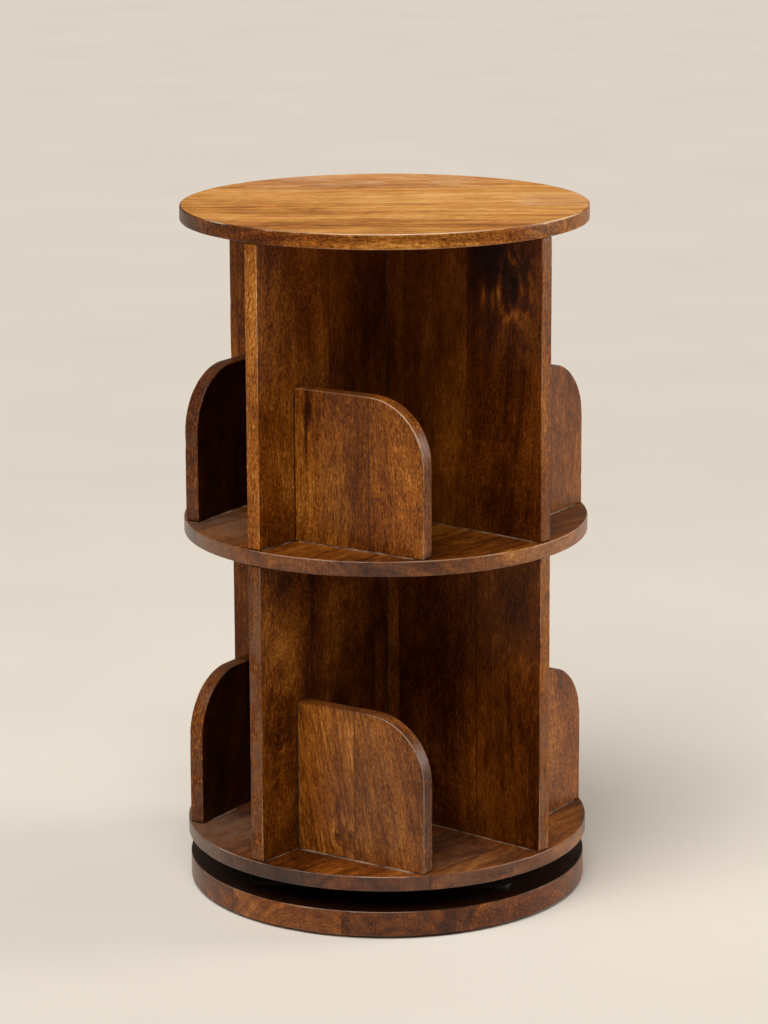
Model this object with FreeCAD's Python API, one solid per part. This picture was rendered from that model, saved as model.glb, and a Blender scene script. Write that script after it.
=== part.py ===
import FreeCAD, Part
import math
import os
from FreeCAD import Vector

# Revolving bookcase in dark stained solid wood: a round base on floor pads, a ball swivel, and a
# carousel of three round shelves with two tiers of crossed partitions and low book stops.
# Millimetres, +Z up. The origin is on the floor, on the turning axis. The partitions lie on X and Y.

# Driving dimensions: boards
shelf_radius = 200.0
base_radius = 198.0
board = 15.0
base_thickness = 25.0
tier_height = 295.0
partition_reach = 198.0
shelf_rounding = 1.5
partition_rounding = 1.2

# Driving dimensions: book stops
stop_height = 150.0
stop_corner_radius = 62.0
stop_offset = 146.0
stop_tilt_deg = 6.6
stop_reach = 199.5
stop_rounding = 2.0

# Driving dimensions: floor pads
pad_height = 2.5
pad_radius = 15.0
pad_circle = 165.0
pad_rounding = 0.6

# Driving dimensions: swivel
swivel_height = 21.0
plate_side = 256.0
plate_corner_radius = 15.0
plate_thickness = 2.5
ball_count = 24
ball_radius = 5.0
ball_circle = 75.0
running_gap = 0.05
race_width = 18.0
race_spacing = 2.0
cage_thickness = 1.2
cage_width = 15.0
pin_radius = 8.0
hub_radius = 18.0
hub_pocket_radius = 13.5
hub_drop = 9.0
hub_floor = 4.5
washer_radius = 13.0
washer_thickness = 1.5
ring_radius = 11.5
ring_thickness = 1.5
ring_groove_depth = 1.0
pin_head_room = 3.5
base_turn_deg = 36.0

# Driving dimensions: fasteners
glue_gap = 0.05
dowel_radius = 4.0
dowel_depth = 25.0
top_dowel_depth = 9.0
dowel_places = (60.0, 170.0)
cross_dowel_heights = (60.0, 147.5, 235.0)
stop_dowel_radius = 3.0
stop_dowel_places = (45.0, 105.0)
stop_dowel_up = 20.0
stop_dowel_down = 9.0
side_dowel_height = 90.0
side_dowel_in_wall = 8.0
side_dowel_in_stop = 22.0
hole_end_room = 1.0
screw_radius = 2.25
screw_tip = 4.0
pan_head_radius = 4.4
pan_head_height = 2.6
plate_screw_place = 110.0
upper_screw_length = 14.0
shelf_screw_length = 50.0
sunk_head_radius = 4.5

# Levels, from the floor up
base_bottom = pad_height
base_top = base_bottom + base_thickness
lower_shelf_bottom = base_top + swivel_height
lower_shelf_top = lower_shelf_bottom + board
middle_shelf_bottom = lower_shelf_top + tier_height
middle_shelf_top = middle_shelf_bottom + board
top_bottom = middle_shelf_top + tier_height
ball_level = base_top + swivel_height / 2

UP = Vector(0, 0, 1)
QUARTERS = ("front", "right", "back", "left")
TIERS = {"lower": lower_shelf_top, "upper": middle_shelf_top}


def turned(shape, degrees):
    """A copy of the shape, turned about the vertical axis."""
    copy = shape.copy()
    copy.rotate(Vector(0, 0, 0), UP, degrees)
    return copy


def block(x_span, y_span, z_span):
    """A box between two values on each axis."""
    sides = [span[1] - span[0] for span in (x_span, y_span, z_span)]
    return Part.makeBox(*sides, Vector(x_span[0], y_span[0], z_span[0]))


def disc(radius, bottom, thickness, rounding):
    """A round board with eased rims."""
    plain = Part.makeCylinder(radius, thickness, Vector(0, 0, bottom))
    rims = [edge for edge in plain.Edges if isinstance(edge.Curve, Part.Circle)]
    return plain.makeFillet(rounding, rims)


def ring(inner, outer, bottom, height):
    """A flat ring about the vertical axis."""
    whole = Part.makeCylinder(outer, height, Vector(0, 0, bottom))
    return whole.cut(Part.makeCylinder(inner, height, Vector(0, 0, bottom)))


def drilled(piece, cutters):
    """The piece with the holes of every fastener that reaches into it."""
    near = [cutter for cutter in cutters if cutter.BoundBox.intersect(piece.BoundBox)]
    return piece.cut(near) if near else piece


# Wooden boards

def partition(near_end, far_end, bottom):
    """A partition board along X, with its outer upright edges eased."""
    plain = block((near_end, far_end), (-board / 2, board / 2), (bottom, bottom + tier_height))
    outer = []
    for edge in plain.Edges:
        upright = edge.BoundBox.ZLength > tier_height / 2
        if upright and abs(abs(edge.CenterOfMass.x) - partition_reach) < 0.01:
            outer.append(edge)
    return plain.makeFillet(partition_rounding, outer)


def stop_line():
    """Start, direction along, direction inwards and length of a stop's outer face, in plan."""
    tilt = math.radians(stop_tilt_deg)
    start = Vector(board / 2, -stop_offset, 0)
    along = Vector(math.cos(tilt), math.sin(tilt), 0)
    inwards = Vector(-math.sin(tilt), math.cos(tilt), 0)
    lean = start.dot(along)
    length = -lean + math.sqrt(lean ** 2 + stop_reach ** 2 - start.dot(start))
    return start, along, inwards, length


def book_stop(bottom):
    """A low board with one rounded upper corner, butted against the partition in the front quarter."""
    start, along, inwards, length = stop_line()

    def point(reach, height):
        return start + along * reach + UP * (bottom + height)

    arc_reach = length - stop_corner_radius
    arc_height = stop_height - stop_corner_radius
    half = stop_corner_radius * math.sqrt(0.5)
    corner = Part.Arc(
        point(length, arc_height),
        point(arc_reach + half, arc_height + half),
        point(arc_reach, stop_height),
    )
    outline = Part.Wire([
        Part.makeLine(point(0, 0), point(length, 0)),
        Part.makeLine(point(length, 0), point(length, arc_height)),
        corner.toShape(),
        Part.makeLine(point(arc_reach, stop_height), point(0, stop_height)),
        Part.makeLine(point(0, stop_height), point(0, 0)),
    ])
    plain = Part.Face(outline).extrude(inwards * board)
    eased = []
    for edge in plain.Edges:
        offset = edge.CenterOfMass - point(0, 0)
        depth = offset.dot(inwards)
        on_face = min(abs(depth), abs(depth - board)) < 0.01
        if on_face and offset.dot(along) > 1 and offset.z > 1:
            eased.append(edge)
    rounded = plain.makeFillet(stop_rounding, eased)
    wall = block((-board, board / 2), (-shelf_radius, 0), (bottom, bottom + stop_height))
    return rounded.cut(wall)


# Fasteners: each maker gives the fastener and the slightly larger hole that it fills

def dowel(start, direction, length, radius):
    """A plain wooden dowel, and its hole with room for glue at both ends."""
    peg = Part.makeCylinder(radius, length, start, direction)
    hole_start = start - direction * hole_end_room
    hole_length = length + 2 * hole_end_room
    hole = Part.makeCylinder(radius + glue_gap, hole_length, hole_start, direction)
    return peg, hole


def screw_body(seat, length, radius):
    """A wood screw's shank with its pointed tip, up from the seat of the head."""
    shank = Part.makeCylinder(radius, length - screw_tip, seat)
    tip_start = seat + UP * (length - screw_tip)
    return shank.fuse(Part.makeCone(radius, radius / 3, screw_tip, tip_start))


def pan_screw(seat, length):
    """A pan-head wood screw that goes up from the seat, with its head below."""
    head = Part.makeCylinder(pan_head_radius, pan_head_height, seat, UP * -1)
    crown = [edge for edge in head.Edges if edge.BoundBox.ZMax < seat.z - pan_head_height / 2]
    head = head.makeFillet(pan_head_height / 2, crown)
    screw = head.fuse(screw_body(seat, length, screw_radius)).removeSplitter()
    return screw, screw_body(seat, length + hole_end_room, screw_radius + glue_gap)


def countersunk_screw(seat, length, pointed):
    """A countersunk screw that goes up from the seat, with a wood screw's point or a blunt end."""
    head_height = sunk_head_radius - screw_radius

    def shape(gap, extra):
        radius = screw_radius + gap
        head = Part.makeCone(sunk_head_radius + gap, radius, head_height, seat)
        if pointed:
            shank = screw_body(seat, length + extra, radius)
        else:
            shank = Part.makeCylinder(radius, length + extra, seat)
        return head.fuse(shank).removeSplitter()

    return shape(0.0, 0.0), shape(glue_gap, hole_end_room)


def arm_places():
    """Points on the four partition arms where shelves and partitions are joined."""
    places = []
    for quarter in range(4):
        for reach in dowel_places:
            angle = math.radians(90 * quarter)
            places.append(Vector(round(math.cos(angle)), round(math.sin(angle)), 0) * reach)
    return places


def stop_dowels(bottom):
    """Dowels of one stop: two down into the shelf, one sideways into the partition."""
    start, along, inwards, length = stop_line()
    middle = start + inwards * (board / 2) + UP * bottom
    pairs = []
    for place in stop_dowel_places:
        foot = middle + along * place - UP * stop_dowel_down
        pairs.append(dowel(foot, UP, stop_dowel_down + stop_dowel_up, stop_dowel_radius))
    side = Vector(board / 2 - side_dowel_in_wall, middle.y, bottom + side_dowel_height)
    side_length = side_dowel_in_wall + side_dowel_in_stop
    pairs.append(dowel(side, Vector(1, 0, 0), side_length, stop_dowel_radius))
    return pairs


def turned_pairs(pairs):
    """The same fasteners in all four quarters."""
    result = []
    for quarter in range(4):
        for solid, hole in pairs:
            result.append((turned(solid, 90 * quarter), turned(hole, 90 * quarter)))
    return result


def corner_seat(level):
    """The place of a screw's head near one corner of a swivel plate."""
    return Vector(plate_screw_place, plate_screw_place, level)


fasteners = {}
fasteners["top_dowels"] = [
    dowel(place + UP * (top_bottom - dowel_depth), UP, dowel_depth + top_dowel_depth, dowel_radius)
    for place in arm_places()
]
fasteners["middle_dowels"] = [
    dowel(place + UP * (middle_shelf_bottom - dowel_depth), UP, board + 2 * dowel_depth, dowel_radius)
    for place in arm_places()
]
fasteners["lower_shelf_screws"] = [
    countersunk_screw(place + UP * lower_shelf_bottom, shelf_screw_length, True)
    for place in arm_places()
]
for tier, level in TIERS.items():
    fasteners[f"{tier}_cross_dowels"] = [
        dowel(
            Vector(-board / 2 - dowel_depth, 0, level + height),
            Vector(1, 0, 0),
            board + 2 * dowel_depth,
            dowel_radius,
        )
        for height in cross_dowel_heights
    ]
    fasteners[f"{tier}_stop_dowels"] = turned_pairs(stop_dowels(level))
lower_plate_top = base_top + plate_thickness
upper_plate_bottom = lower_shelf_bottom - plate_thickness
base_screw = countersunk_screw(corner_seat(base_bottom), lower_plate_top - base_bottom, False)
fasteners["swivel_lower_screws"] = turned_pairs([[turned(shape, base_turn_deg) for shape in base_screw]])
shelf_screw = pan_screw(corner_seat(upper_plate_bottom), upper_screw_length)
fasteners["swivel_upper_screws"] = turned_pairs([shelf_screw])
holes = [hole for pairs in fasteners.values() for solid, hole in pairs]


# Swivel

def square_plate(bottom):
    """A square steel plate with rounded corners."""
    half = plate_side / 2
    plain = block((-half, half), (-half, half), (bottom, bottom + plate_thickness))
    upright = [edge for edge in plain.Edges if edge.BoundBox.ZLength > plate_thickness / 2]
    return plain.makeFillet(plate_corner_radius, upright)


def raced_plate(plate_bottom, race_bottom, race_height):
    """A swivel plate with its raised race, grooved for the balls."""
    inner = ball_circle - race_width / 2
    outer = ball_circle + race_width / 2
    plate = square_plate(plate_bottom).fuse(ring(inner, outer, race_bottom, race_height))
    groove = Part.makeTorus(ball_circle, ball_radius + running_gap, Vector(0, 0, ball_level))
    return plate.removeSplitter().cut(groove)


def lower_plate():
    """The swivel plate on the base: race upwards, pivot hole in the middle."""
    race_height = ball_level - race_spacing / 2 - lower_plate_top
    plate = raced_plate(base_top, lower_plate_top, race_height)
    hole = Part.makeCylinder(pin_radius + glue_gap, plate_thickness, Vector(0, 0, base_top))
    return turned(plate.cut(hole), base_turn_deg)


hub_bottom = upper_plate_bottom - hub_drop
hub_seat = hub_bottom + hub_floor


def upper_plate():
    """The swivel plate under the lower shelf: race downwards, and a hub that runs on the pin."""
    race_bottom = ball_level + race_spacing / 2
    plate = raced_plate(upper_plate_bottom, race_bottom, upper_plate_bottom - race_bottom)
    hub = Part.makeCylinder(hub_radius, hub_drop, Vector(0, 0, hub_bottom))
    bore_radius = pin_radius + running_gap
    bore = Part.makeCylinder(bore_radius, swivel_height, Vector(0, 0, hub_bottom))
    pocket = Part.makeCylinder(hub_pocket_radius, swivel_height, Vector(0, 0, hub_seat))
    return plate.fuse(hub).removeSplitter().cut([bore, pocket])


washer_bottom = hub_seat + 2 * running_gap
ring_bottom = washer_bottom + washer_thickness + running_gap
groove_bottom = ring_bottom - running_gap
groove_height = ring_thickness + 2 * running_gap


def pivot_pin():
    """The upright pin on the lower plate, grooved near its top for the retaining ring."""
    height = swivel_height - pin_head_room
    pin = Part.makeCylinder(pin_radius, height, Vector(0, 0, base_top))
    groove = ring(pin_radius - ring_groove_depth, pin_radius + 1, groove_bottom, groove_height)
    return pin.cut(groove)


def retaining_ring():
    """The open spring ring in the pin's groove."""
    inner = pin_radius - ring_groove_depth + running_gap
    whole = ring(inner, ring_radius, ring_bottom, ring_thickness)
    half_mouth = pin_radius / 2
    ring_top = ring_bottom + ring_thickness
    mouth = block((0, ring_radius), (-half_mouth, half_mouth), (ring_bottom, ring_top))
    return whole.cut(mouth)


def ball_places():
    """Centres of the bearing balls, evenly round the axis."""
    step = 2 * math.pi / ball_count
    return [
        Vector(ball_circle * math.cos(step * i), ball_circle * math.sin(step * i), ball_level)
        for i in range(ball_count)
    ]


def ball_cage():
    """The flat ring that keeps the balls apart."""
    inner = ball_circle - cage_width / 2
    outer = ball_circle + cage_width / 2
    bottom = ball_level - cage_thickness / 2
    whole = ring(inner, outer, bottom, cage_thickness)
    pockets = [
        Part.makeCylinder(ball_radius + 2 * running_gap, cage_thickness, Vector(place.x, place.y, bottom))
        for place in ball_places()
    ]
    return whole.cut(pockets)


# Floor pads

def floor_pad(quarter):
    """A round pad under the base."""
    angle = math.radians(base_turn_deg + 90 * quarter)
    centre = Vector(pad_circle * math.cos(angle), pad_circle * math.sin(angle), 0)
    plain = Part.makeCylinder(pad_radius, pad_height, centre)
    foot = [edge for edge in plain.Edges if edge.BoundBox.ZMax < 0.01]
    return plain.makeFillet(pad_rounding, foot)


# Assembly: one shape for each named piece

nodes = {"base_disc": drilled(disc(base_radius, base_bottom, base_thickness, shelf_rounding), holes)}
for quarter, name in enumerate(QUARTERS):
    nodes[f"floor_pad_{name}"] = floor_pad(quarter)
nodes["swivel_lower_plate"] = drilled(lower_plate(), holes)
nodes["swivel_upper_plate"] = drilled(upper_plate(), holes)
nodes["swivel_balls"] = Part.makeCompound([Part.makeSphere(ball_radius, place) for place in ball_places()])
nodes["swivel_cage"] = ball_cage()
nodes["swivel_pin"] = pivot_pin()
nodes["swivel_washer"] = ring(pin_radius + running_gap, washer_radius, washer_bottom, washer_thickness)
nodes["swivel_retaining_ring"] = retaining_ring()

shelf_levels = {
    "lower_shelf": lower_shelf_bottom,
    "middle_shelf": middle_shelf_bottom,
    "top_disc": top_bottom,
}
for name, level in shelf_levels.items():
    nodes[name] = drilled(disc(shelf_radius, level, board, shelf_rounding), holes)

for tier, level in TIERS.items():
    long_board = turned(partition(-partition_reach, partition_reach, level), 90)
    nodes[f"{tier}_long_partition"] = drilled(long_board, holes)
    short_board = partition(board / 2, partition_reach, level)
    nodes[f"{tier}_short_partition_right"] = drilled(short_board, holes)
    nodes[f"{tier}_short_partition_left"] = drilled(turned(short_board, 180), holes)
    for quarter, name in enumerate(QUARTERS):
        nodes[f"{tier}_stop_{name}"] = drilled(turned(book_stop(level), 90 * quarter), holes)

for name, pairs in fasteners.items():
    nodes[name] = Part.makeCompound([solid for solid, hole in pairs])

os.makedirs("parts", exist_ok=True)
for name, shape in nodes.items():
    shape.exportStep(f"parts/{name}.step")
    print(f"{name}: {len(shape.Solids)} solid(s), {shape.Volume / 1000:.1f} cm3, valid {shape.isValid()}")
print(f"{len(nodes)} pieces, {top_bottom + board:.1f} mm high")
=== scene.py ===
# %% [markdown]
# # A revolving bookcase in stained wood
#
# The bookcase has three round shelves, two tiers of crossed partitions and a low book stop in each
# quarter. It turns on a flat ball swivel over a round base. The CAD model already holds every piece in
# its true place, so this lesson only dresses it: it gives the boards hand-eased edges, lays the wood
# grain, seams and lacquer on them, and sets the light and the camera. Everything is in metres, in the
# same frame as the CAD model: the axis of the swivel is Z, the long partitions run along Y.

# %% Load the frame
import math
from dataclasses import dataclass
from types import SimpleNamespace

import bpy
import numpy as np
from mathutils import Euler, Matrix, Vector


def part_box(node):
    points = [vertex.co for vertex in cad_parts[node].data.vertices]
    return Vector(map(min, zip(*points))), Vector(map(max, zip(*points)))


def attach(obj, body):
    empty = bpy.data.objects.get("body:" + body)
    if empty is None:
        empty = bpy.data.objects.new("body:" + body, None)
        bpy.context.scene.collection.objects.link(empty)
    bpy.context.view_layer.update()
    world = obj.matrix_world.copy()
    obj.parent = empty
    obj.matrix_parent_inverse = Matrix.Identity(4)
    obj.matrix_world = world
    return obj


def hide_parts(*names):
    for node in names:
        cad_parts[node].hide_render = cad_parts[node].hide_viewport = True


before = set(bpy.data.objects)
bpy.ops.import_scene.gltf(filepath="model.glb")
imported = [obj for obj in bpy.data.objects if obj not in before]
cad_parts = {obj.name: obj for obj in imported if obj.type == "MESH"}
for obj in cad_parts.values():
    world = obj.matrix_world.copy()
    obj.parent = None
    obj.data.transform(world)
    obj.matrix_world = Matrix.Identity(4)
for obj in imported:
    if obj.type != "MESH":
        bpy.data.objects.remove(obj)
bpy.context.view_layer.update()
scene = bpy.context.scene

# %% [markdown]
# ## Camera
#
# The photograph looks slightly down on the bookcase from about three metres, with one corner of the
# crossed partitions towards the lens. Its upright lines are nearly parallel, which a view camera does
# with a large shift. A large shift would push the bookcase out of the picture when the camera walks
# round it, so this camera is mostly tilted and only a little shifted.

# %% Camera at the photograph's viewing angle
LOOK_TURN = math.radians(39.4)
CAMERA_REACH = 3.267
CAMERA_HEIGHT = 1.171
CAMERA_PITCH = math.radians(11.65)
CAMERA_ROLL = math.radians(-0.23)
LENS_LENGTH = 119.0  # millimetres
LENS_SHIFT = (-0.0013, -0.12)
FARTHEST_SEEN = 60.0


def as_seen(right, away, up):
    """A place named from the camera's side: metres to the right of the axis, away behind it, and up."""
    ahead, aside = math.cos(LOOK_TURN), math.sin(LOOK_TURN)
    return (ahead * right - aside * away, aside * right + ahead * away, up)


lens = bpy.data.cameras.new("camera")
lens.lens = LENS_LENGTH
lens.shift_x, lens.shift_y = LENS_SHIFT
lens.clip_end = FARTHEST_SEEN
camera = bpy.data.objects.new("camera", lens)
camera.location = as_seen(0.0, -CAMERA_REACH, CAMERA_HEIGHT)
level_aim = Euler((math.pi / 2 - CAMERA_PITCH, 0.0, LOOK_TURN)).to_matrix()
camera.rotation_euler = (level_aim @ Matrix.Rotation(CAMERA_ROLL, 3, "Z")).to_euler()
scene.collection.objects.link(camera)
scene.camera = camera
scene.view_settings.view_transform = "Standard"
print("camera at", [round(v, 3) for v in camera.location])

# %% [markdown]
# ## Writing node trees as formulas
#
# Wood grain is a formula: rings around a pith, bent by slow noise and cut by a flat face. In Blender a
# formula is a chain of Math nodes, which is long to write out. The small class below holds one value on
# its way through a node tree, and plain arithmetic on it adds the nodes. A mesh texture would need an
# image file; a formula needs none, and it runs through the solid, so faces, edges and end grain agree.

# %% Terms of a formula


class Term:
    """One number on its way through a node tree; arithmetic on it adds Math nodes to the tree."""

    def __init__(self, tree, socket):
        self.tree, self.socket = tree, socket

    def math(self, operation, *others):
        node = self.tree.nodes.new("ShaderNodeMath")
        node.operation = operation
        for socket, value in zip(node.inputs, (self, *others)):
            feed(self.tree, socket, value)
        return Term(self.tree, node.outputs[0])

    def __add__(self, other):
        return self.math("ADD", other)

    def __sub__(self, other):
        return self.math("SUBTRACT", other)

    def __rsub__(self, other):
        return self.math("MULTIPLY_ADD", -1.0, other)

    def __mul__(self, other):
        return self.math("MULTIPLY", other)

    def __truediv__(self, other):
        return self.math("DIVIDE", other)

    def __pow__(self, other):
        return self.math("POWER", other)

    __radd__, __rmul__ = __add__, __mul__

    def fall_off(self):
        """1 where this is 0, and less the larger this is: e to the power of minus this."""
        return (self * -1.0).math("EXPONENT")

    def rise(self, low, high):
        """0 below low, 1 above high, and a smooth step between."""
        node = self.tree.nodes.new("ShaderNodeMapRange")
        node.interpolation_type = "SMOOTHSTEP"
        for socket, value in zip(node.inputs, (self, low, high, 0.0, 1.0)):
            feed(self.tree, socket, value)
        return Term(self.tree, node.outputs[0])


def feed(tree, socket, value):
    """Join a term or a socket to an input, or write a plain number or colour into it."""
    if isinstance(value, Term):
        value = value.socket
    if isinstance(value, bpy.types.NodeSocket):
        tree.links.new(value, socket)
    else:
        socket.default_value = value


print("terms can", [name for name in vars(Term) if not name.startswith("_")])

# %% Noise, draws and colours
MIX_FACTOR, MIX_FIRST, MIX_SECOND, MIX_RESULT = 0, 6, 7, 2  # sockets of a Mix node when it mixes colours


def clouds(x, y, z, detail, roughness, seed=0.0):
    """Noise from 0 to 1 whose patches are about 1 across in the three given numbers."""
    tree = x.tree
    place = tree.nodes.new("ShaderNodeCombineXYZ")
    for socket, value in zip(place.inputs, (x, y, z)):
        feed(tree, socket, value)
    node = tree.nodes.new("ShaderNodeTexNoise")
    node.noise_dimensions = "4D"
    tree.links.new(place.outputs[0], node.inputs["Vector"])
    for name, value in (("W", seed), ("Scale", 1.0), ("Detail", detail), ("Roughness", roughness)):
        feed(tree, node.inputs[name], value)
    return Term(tree, node.outputs[0])


def draws(number):
    """Three numbers from 0 to 1 drawn for each whole value of a term."""
    tree = number.tree
    node = tree.nodes.new("ShaderNodeTexWhiteNoise")
    node.noise_dimensions = "1D"
    feed(tree, node.inputs["W"], number)
    parts = tree.nodes.new("ShaderNodeSeparateColor")
    tree.links.new(node.outputs["Color"], parts.inputs[0])
    return [Term(tree, output) for output in parts.outputs]


def tint(term, stops):
    """Colour from a ramp: stops are pairs of a value from 0 to 1 and a linear colour."""
    tree = term.tree
    node = tree.nodes.new("ShaderNodeValToRGB")
    ramp = node.color_ramp
    while len(ramp.elements) < len(stops):
        ramp.elements.new(0.5)
    for element, (value, colour) in zip(ramp.elements, stops):
        element.position = value
        element.color = (*colour, 1.0)
    feed(tree, node.inputs[0], term)
    return node.outputs[0]


def blend(factor, first, second, kind="MIX"):
    """Colour between two colours, or one laid on the other by a blend mode, by a term from 0 to 1."""
    tree = factor.tree
    node = tree.nodes.new("ShaderNodeMix")
    node.data_type, node.blend_type, node.clamp_factor = "RGBA", kind, True
    for index, value in ((MIX_FACTOR, factor), (MIX_FIRST, first), (MIX_SECOND, second)):
        feed(tree, node.inputs[index], value)
    return node.outputs[MIX_RESULT]


print("noise has four dimensions: a place and a seed")

# %% Materials


def new_finish(name):
    """An empty material with its shader: the material, its node tree and the shader node."""
    material = bpy.data.materials.new(name)
    material.use_nodes = True
    tree = material.node_tree
    return material, tree, tree.nodes["Principled BSDF"]


def place_in(tree, turn=0.0):
    """Object coordinates in metres, turned back about Z by an angle, as three terms."""
    source = tree.nodes.new("ShaderNodeTexCoord")
    mapping = tree.nodes.new("ShaderNodeMapping")
    mapping.inputs["Rotation"].default_value = (0.0, 0.0, -turn)
    parts = tree.nodes.new("ShaderNodeSeparateXYZ")
    tree.links.new(source.outputs["Object"], mapping.inputs["Vector"])
    tree.links.new(mapping.outputs[0], parts.inputs[0])
    return [Term(tree, output) for output in parts.outputs]


def rough_surface(tree, shader, height, depth, strength):
    """Bump on a shader from a term that is 0 to 1, where 1 stands depth metres above 0."""
    node = tree.nodes.new("ShaderNodeBump")
    node.inputs["Strength"].default_value = strength
    node.inputs["Distance"].default_value = depth
    feed(tree, node.inputs["Height"], height)
    tree.links.new(node.outputs[0], shader.inputs["Normal"])


print("materials before the lesson:", len(bpy.data.materials))

# %% [markdown]
# ## Studio
#
# A wide pale floor catches a soft shadow and throws light back up on the lower boards. The main light
# comes from high up in front, so that the stops are lit and the compartments behind them stay dark. It is
# a sun lamp with a very wide disc, which lights the floor evenly as far as the camera sees; an area lamp
# would leave the far floor grey. A second lamp far to the right, like a window, is mirrored in the satin of
# the right-hand faces, which gives them their grey sheen. The world is a dim warm room.

# %% Floor
FLOOR_RADII = np.array([0.4, 1.0, 2.5, 6.0, 15.0, 40.0])
FLOOR_SPOKES = 96
FLOOR_PATCHES = 3.0  # per metre
FLOOR_TINTS = [(0.3, (0.64, 0.620, 0.595)), (0.7, (0.67, 0.650, 0.625))]


def band_quads(index):
    """Faces between each ring of points and the next; index has the numbers of a ring's points in a row."""
    then = np.roll(index, -1, axis=1)
    return np.stack([index[:-1], index[1:], then[1:], then[:-1]], -1).reshape(-1, 4).tolist()


def floor_mesh():
    """Flat rings about the axis on the floor plane: radius times the cosine and sine of the turn."""
    turns = np.linspace(0.0, 2.0 * np.pi, FLOOR_SPOKES, endpoint=False)
    x, y = np.outer(FLOOR_RADII, np.cos(turns)), np.outer(FLOOR_RADII, np.sin(turns))
    points = np.vstack([[[0.0, 0.0, 0.0]], np.stack([x, y, np.zeros_like(x)], -1).reshape(-1, 3)])
    index = 1 + np.arange(x.size).reshape(x.shape)
    middle = np.stack([np.zeros_like(index[0]), index[0], np.roll(index[0], -1)], -1)
    mesh = bpy.data.meshes.new("studio_floor")
    mesh.from_pydata(points.tolist(), [], middle.tolist() + band_quads(index))
    return mesh


floor = bpy.data.objects.new("studio_floor", floor_mesh())
scene.collection.objects.link(floor)
floor_paint, floor_tree, floor_shader = new_finish("floor_paint")
x, y, z = place_in(floor_tree)
floor_haze = clouds(x * FLOOR_PATCHES, y * FLOOR_PATCHES, z, detail=4.0, roughness=0.5)
feed(floor_tree, floor_shader.inputs["Base Color"], tint(floor_haze, FLOOR_TINTS))
floor_shader.inputs["Roughness"].default_value = 0.8
floor_shader.inputs["Specular IOR Level"].default_value = 0.1
floor.data.materials.append(floor_paint)
print("floor reaches", FLOOR_RADII[-1], "m")

# %% World and lamps
ROOM_COLOUR = (1.0, 0.80, 0.60, 1.0)
ROOM_LIGHT = 0.20
LIT_MIDDLE = (0.0, 0.0, 0.36)
SUN_WIDTH = math.radians(50.0)
HONEYCOMB = math.radians(60.0)


def lamp(kind, name, place, size, power, colour):
    """A soft lamp at a place, named as the camera sees it, turned to face the middle of the bookcase.

    The size is an area lamp's side in metres, or the width of a sun's disc as an angle. An area lamp has a
    honeycomb grid in front, so that it lights the bookcase and not the floor beneath it.
    """
    light = bpy.data.lights.new(name, kind)
    light.energy, light.color = power, colour
    if kind == "SUN":
        light.angle = size
    else:
        light.shape, light.size, light.spread = "SQUARE", size, HONEYCOMB
    stand = bpy.data.objects.new(name, light)
    stand.location = as_seen(*place)
    stand.rotation_euler = (Vector(as_seen(*LIT_MIDDLE)) - stand.location).to_track_quat("-Z", "Y").to_euler()
    stand.visible_camera = False
    scene.collection.objects.link(stand)


world = bpy.data.worlds.new("studio")
world.use_nodes = True
scene.world = world
room = world.node_tree.nodes["Background"]
room.inputs["Color"].default_value = ROOM_COLOUR
room.inputs["Strength"].default_value = ROOM_LIGHT
lamp("SUN", "high_front", place=(-0.55, -1.05, 2.4), size=SUN_WIDTH, power=3.4, colour=(1.0, 0.95, 0.88))
lamp("AREA", "right_window", place=(2.7, 0.35, 1.0), size=1.2, power=6.5, colour=(1.0, 0.94, 0.86))

# %% [markdown]
# ## Stained wood
#
# The boards are glued up from strips about ten centimetres wide, stained dark brown and lacquered to a
# satin sheen. Each strip was cut from its own place in a log. The formula gives every strip its own
# pith, a little behind its face: the distance from the pith, bent by slow noise, gives streaks that
# follow the grain. Fine lines run with the fibres, short dashes are cut-open pores, and soft clouds are
# where the stain took more or less. A knot pushes the lines apart, and a mark is one dark or golden patch.
# An image of wood would show the same grain on every board; a formula gives each board its own.

# %% Colours of the stain
STAIN = [
    (0.0085, 0.0016, 0.0001),
    (0.0400, 0.0082, 0.0004),
    (0.1320, 0.0350, 0.0024),
    (0.3050, 0.1050, 0.0120),
    (0.6000, 0.2720, 0.0560),
    (0.8400, 0.5000, 0.1900),
]
STAIN_STEP = 0.25  # tone from one colour of STAIN to the next
# This near black darkens the glue lines, and paints the shade on the base's top face.
SEAM_AND_SHADE_DARK = (0.012, 0.003, 0.0005, 1.0)
# Pale arrises: wear, and painted highlight.
RUBBED_AND_HIGHLIT_ARRIS = (0.80, 0.62, 0.45, 1.0)
# Grey of dust, and of painted sheen and shade, for the edges and the dulled patches.
DUST_AND_SHEEN_GREY = (0.135, 0.078, 0.052, 1.0)
# Tint of painted glare: the room's reflection in the lacquer.
PAINTED_GLARE_TINT = (0.62, 0.43, 0.33, 1.0)
RED_WASH = (1.0, 0.86, 0.70, 1.0)


def stain(tone):
    """Colour of the stain at a tone: 0 is the first colour of STAIN, and each STAIN_STEP is one more."""
    last = len(STAIN) - 1
    return tint(tone / (STAIN_STEP * last), [(i / last, colour) for i, colour in enumerate(STAIN)])


print("stain runs over", len(STAIN), "colours")

# %% What a maker would note down about a piece of wood


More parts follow.
